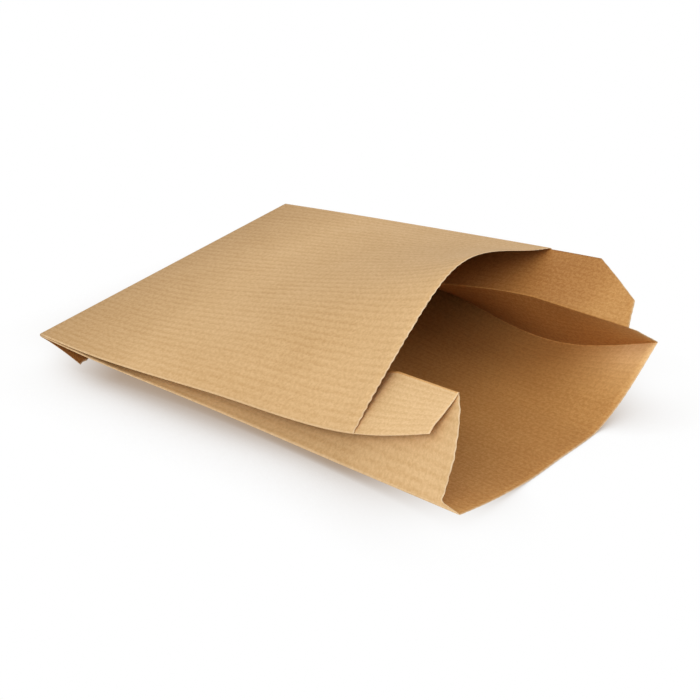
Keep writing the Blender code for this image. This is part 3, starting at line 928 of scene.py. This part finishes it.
def crease_wear_and_highlight_group():
    """Pale lines on creases and along cut edges: rubbed and torn fibres, and painted highlight."""
    group = bpy.data.node_groups.new("crease_wear_and_highlight", "ShaderNodeTree")
    add_sockets(group, "INPUT", (
        ("Colour", "NodeSocketColor"), ("Worn And Highlight Colour", "NodeSocketColor"),
        ("Crease Wear And Highlight", "NodeSocketFloat"), ("Edge Wear And Highlight", "NodeSocketFloat")))
    add_sockets(group, "OUTPUT", (("Colour", "NodeSocketColor"),))
    bench = NodeBench(group)
    entry = bench.add("NodeGroupInput")
    exit_node = bench.add("NodeGroupOutput")
    flat = bench.add("ShaderNodeUVMap", uv_map="sheet").outputs["UV"]
    by_crease = bench.ease(bench.attribute("fold_distance"), 0.0, CREASE_WEAR_AND_HIGHLIGHT_WIDTH, 1.0, 0.0)
    by_cut = bench.ease(bench.attribute("cut_distance"), EDGE_WEAR_AND_HIGHLIGHT_START, EDGE_WEAR_AND_HIGHLIGHT_END, 1.0, 0.0)
    crease = bench.math("MULTIPLY", by_crease, entry.outputs["Crease Wear And Highlight"])
    edge = bench.math("MULTIPLY", by_cut, entry.outputs["Edge Wear And Highlight"])
    patches = bench.ease(bench.noise(flat, *WEAR_AND_HIGHLIGHT_NOISE), *WEAR_AND_HIGHLIGHT_RANGE, WEAR_AND_HIGHLIGHT_FADE, 1.0)
    worn_and_highlit = bench.math("MULTIPLY", bench.math("MAXIMUM", crease, edge), patches)
    colour = bench.mix(worn_and_highlit, entry.outputs["Colour"], entry.outputs["Worn And Highlight Colour"])
    bench.feed(exit_node.inputs["Colour"], colour)
    return group


def opaque(colour):
    """Colour with full alpha."""
    return (colour[0], colour[1], colour[2], 1.0)


def paper_material(name, groups, colours, finish):
    """Kraft paper from the shared groups, in its colours (paper, ribs, worn) and finish."""
    kraft, wear_and_highlight = groups
    paper_colour, rib_colour, worn_and_highlight_colour = (opaque(colour) for colour in colours)
    material = bpy.data.materials.new(name)
    material.use_nodes = True
    bench = NodeBench(material.node_tree)
    shader = material.node_tree.nodes["Principled BSDF"]
    paper = bench.add("ShaderNodeGroup", node_tree=kraft)
    paper.inputs["Paper Colour"].default_value = paper_colour
    paper.inputs["Rib Colour"].default_value = rib_colour
    for socket in ("Rib Contrast", "Fibre Contrast", "Cloud Contrast", "Painted Shade Depth"):
        paper.inputs[socket].default_value = finish[socket]
    worn_and_highlit = bench.add("ShaderNodeGroup", node_tree=wear_and_highlight)
    worn_and_highlit.inputs["Worn And Highlight Colour"].default_value = worn_and_highlight_colour
    for socket in ("Crease Wear And Highlight", "Edge Wear And Highlight"):
        worn_and_highlit.inputs[socket].default_value = finish[socket]
    bench.feed(worn_and_highlit.inputs["Colour"], paper.outputs["Colour"])
    bench.feed(shader.inputs["Base Color"], worn_and_highlit.outputs["Colour"])
    bench.feed(shader.inputs["Roughness"], paper.outputs["Roughness"])
    bump = bench.add("ShaderNodeBump")
    bump.inputs["Strength"].default_value = finish["Bump Strength"]
    bump.inputs["Distance"].default_value = RELIEF_HEIGHT
    bench.feed(bump.inputs["Height"], paper.outputs["Relief"])
    bench.feed(shader.inputs["Normal"], bump.outputs["Normal"])
    shader.inputs["Specular IOR Level"].default_value = PAPER_SPECULAR
    return material


def light_face_on_stub(mesh, bag):
    """Give the inner face of the near upper gusset half, which faces the light, the outer face's
    material, without the inside's painted shade.
    """
    stub_start = sheet_width(bag) - bag.gusset_half
    flat = mesh.uv_layers["sheet"].data
    for face in mesh.polygons:
        if face.material_index == INSIDE_SLOT and flat[face.loop_start].uv.x > stub_start:
            face.material_index = OUTSIDE_SLOT


class LUNCHBAG_OT_fold_sheet(bpy.types.Operator):
    """Fold the bag from one sheet of kraft paper"""

    bl_idname = "lunch_bag.fold_sheet"
    bl_label = "Fold Sheet"

    def execute(self, context):
        bag = context.scene.lunch_bag
        groups = (ribbed_kraft_group(), crease_wear_and_highlight_group())
        outer_colours = (bag.paper_colour, bag.rib_colour, bag.worn_and_highlight_colour)
        # The inside material is a shaded copy of the paper: its colours carry painted shade
        inner_colours = (bag.lining_colour_and_shade, bag.lining_shade, bag.worn_and_highlight_colour)
        # The cut rim is painted in the worn colour, which also stands for painted highlight on the
        # edges
        rim_colours = (bag.worn_and_highlight_colour, bag.rib_colour, bag.worn_and_highlight_colour)
        outside = paper_material("kraft_outside", groups, outer_colours, OUTSIDE_FINISH)
        inside = paper_material("kraft_inside", groups, inner_colours, INSIDE_FINISH)
        rim = paper_material("cut_rim", groups, rim_colours, RIM_FINISH)

        tree = serration_tree()
        blank = bpy.data.objects.new("sheet_blank", sheet_mesh(bag))
        for material in (outside, inside, rim):
            blank.data.materials.append(material)
        context.scene.collection.objects.link(blank)
        teeth = blank.modifiers.new("teeth", "NODES")
        teeth.node_group = tree
        teeth[socket_id(tree, "Tooth Pitch")] = bag.tooth_pitch
        teeth[socket_id(tree, "Tooth Depth")] = bag.tooth_depth
        teeth[socket_id(tree, "Paper")] = outside
        wall = blank.modifiers.new("wall", "SOLIDIFY")
        wall.thickness = bag.paper
        wall.offset = 0.0
        wall.use_even_offset = True
        wall.material_offset = INSIDE_SLOT
        wall.material_offset_rim = RIM_SLOT
        context.view_layer.update()
        graph = context.evaluated_depsgraph_get()
        mesh = bpy.data.meshes.new_from_object(
            blank.evaluated_get(graph), preserve_all_data_layers=True, depsgraph=graph)
        bpy.data.objects.remove(blank, do_unlink=True)
        mesh.name = "folded_sheet"
        light_face_on_stub(mesh, bag)
        sheet = bpy.data.objects.new("folded_sheet", mesh)
        context.scene.collection.objects.link(sheet)
        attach(sheet, "root")
        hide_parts(NODE)
        return {"FINISHED"}


WHITE = (1.0, 1.0, 1.0, 1.0)
BLACK = (0.0, 0.0, 0.0, 1.0)

# Colour in which the floor lights the bag from below
FLOOR_BOUNCE = (0.80, 0.80, 0.80, 1.0)

# The soft shadow on the floor: its colour, how far round the bag it reaches, how full it is
FLOOR_SHADOW = (0.39, 0.29, 0.21, 1.0)
FLOOR_SHADOW_REACH = 0.05
FLOOR_SHADOW_POWER = 1.6

# Light gets under the raised corners: where they are, how far it reaches, what shadow is left
CORNER_LIGHTS = (((-0.137, -0.092, 0.0), 0.055), ((0.133, -0.090, 0.0), 0.085),
                 ((0.120, 0.090, 0.0), 0.075))
CORNER_SHADOW = 0.08


def floor_material(name):
    """White floor that lights the bag evenly and shows the camera white and a soft shadow."""
    material = bpy.data.materials.new(name)
    material.use_nodes = True
    bench = NodeBench(material.node_tree)
    shader = material.node_tree.nodes["Principled BSDF"]
    shader.inputs["Roughness"].default_value = 1.0
    shader.inputs["Specular IOR Level"].default_value = 0.0
    seen = bench.seen()
    bench.feed(shader.inputs["Base Color"], bench.mix(seen, FLOOR_BOUNCE, BLACK))
    open_sky = bench.add("ShaderNodeAmbientOcclusion")
    open_sky.inputs["Distance"].default_value = FLOOR_SHADOW_REACH
    lit = bench.math("POWER", open_sky.outputs["AO"], FLOOR_SHADOW_POWER)
    shade = bench.math("SUBTRACT", 1.0, lit)
    place = bench.add("ShaderNodeTexCoord").outputs["Object"]
    for corner, width in CORNER_LIGHTS:
        away = bench.add("ShaderNodeVectorMath", operation="DISTANCE")
        bench.feed(away.inputs[0], place)
        away.inputs[1].default_value = corner
        left = bench.ease(away.outputs["Value"], 0.0, width, CORNER_SHADOW, 1.0)
        shade = bench.math("MULTIPLY", shade, left)
    bench.feed(shader.inputs["Emission Color"], bench.mix(shade, WHITE, FLOOR_SHADOW))
    bench.feed(shader.inputs["Emission Strength"], seen)
    return material


def lay_floor(scene, studio):
    """Square white floor under the bag."""
    half = studio.floor_size / 2.0
    corners = [(-half, -half, 0.0), (half, -half, 0.0), (half, half, 0.0), (-half, half, 0.0)]
    mesh = bpy.data.meshes.new("floor")
    mesh.from_pydata(corners, [], [(0, 1, 2, 3)])
    mesh.materials.append(floor_material("white_floor"))
    floor = bpy.data.objects.new("floor", mesh)
    scene.collection.objects.link(floor)


def hang_lamps(scene, studio):
    """Two soft boxes."""
    for name, power, way in (("soft_box", studio.lamp_power, studio.lamp_from),
                             ("fill_box", studio.fill_power, studio.fill_from)):
        lamp = bpy.data.lights.new(name, "SUN")
        lamp.energy = power
        lamp.angle = math.radians(studio.lamp_spread)
        soft_box = bpy.data.objects.new(name, lamp)
        soft_box.rotation_euler = Vector(way).to_track_quat("Z", "Y").to_euler()
        scene.collection.objects.link(soft_box)


def light_sky(scene, studio):
    """Even light from all around, plain white to the camera."""
    world = bpy.data.worlds.new("studio")
    world.use_nodes = True
    scene.world = world
    bench = NodeBench(world.node_tree)
    sky = world.node_tree.nodes["Background"]
    sky.inputs["Color"].default_value = WHITE
    strength = studio.sky_strength
    lift = bench.math("MULTIPLY_ADD", bench.seen(), 1.0 - strength, strength)
    bench.feed(sky.inputs["Strength"], lift)


def set_camera(scene, studio):
    """Camera that sees the bag as the photograph does."""
    view = bpy.data.cameras.new("photo_view")
    view.sensor_width = 36.0
    view.lens = studio.lens
    view.clip_start = 0.01
    view.clip_end = 50.0
    camera = bpy.data.objects.new("photo_view", view)
    azimuth = studio.camera_azimuth
    elevation = studio.camera_elevation
    flat = math.cos(elevation)
    towards = Vector((math.cos(azimuth) * flat, math.sin(azimuth) * flat, math.sin(elevation)))
    camera.location = Vector(studio.camera_target) + towards * studio.camera_distance
    camera.rotation_euler = towards.to_track_quat("Z", "Y").to_euler()
    scene.collection.objects.link(camera)
    scene.camera = camera


class LUNCHBAG_OT_set_stage(bpy.types.Operator):
    """Lay the floor and set the light and the camera"""

    bl_idname = "lunch_bag.set_stage"
    bl_label = "Set Stage"

    def execute(self, context):
        scene = context.scene
        studio = scene.lunch_bag_studio
        lay_floor(scene, studio)
        hang_lamps(scene, studio)
        light_sky(scene, studio)
        set_camera(scene, studio)
        scene.view_settings.view_transform = "Standard"
        return {"FINISHED"}


class LUNCHBAG_PT_panel(bpy.types.Panel):
    """Sizes of the bag and the steps that make it"""

    bl_idname = "LUNCHBAG_PT_panel"
    bl_label = "Lunch Bag"
    bl_space_type = "VIEW_3D"
    bl_region_type = "UI"
    bl_category = "Lunch Bag"

    def draw(self, context):
        for settings in (context.scene.lunch_bag, context.scene.lunch_bag_studio):
            for name in settings.__annotations__:
                self.layout.prop(settings, name)
        self.layout.operator(LUNCHBAG_OT_fold_sheet.bl_idname)
        self.layout.operator(LUNCHBAG_OT_set_stage.bl_idname)


CLASSES = (BagSettings, StudioSettings, LUNCHBAG_OT_fold_sheet, LUNCHBAG_OT_set_stage,
           LUNCHBAG_PT_panel)


def register():
    """Register the classes and hang the settings on the scene."""
    for cls in CLASSES:
        bpy.utils.register_class(cls)
    bpy.types.Scene.lunch_bag = bpy.props.PointerProperty(type=BagSettings)
    bpy.types.Scene.lunch_bag_studio = bpy.props.PointerProperty(type=StudioSettings)


def unregister():
    """Take the settings and the classes away again."""
    del bpy.types.Scene.lunch_bag_studio
    del bpy.types.Scene.lunch_bag
    for cls in reversed(CLASSES):
        bpy.utils.unregister_class(cls)


def main():
    """Make the bag, the floor, the light and the camera."""
    register()
    bpy.ops.lunch_bag.fold_sheet()
    bpy.ops.lunch_bag.set_stage()


if __name__ == "__main__":
    main()
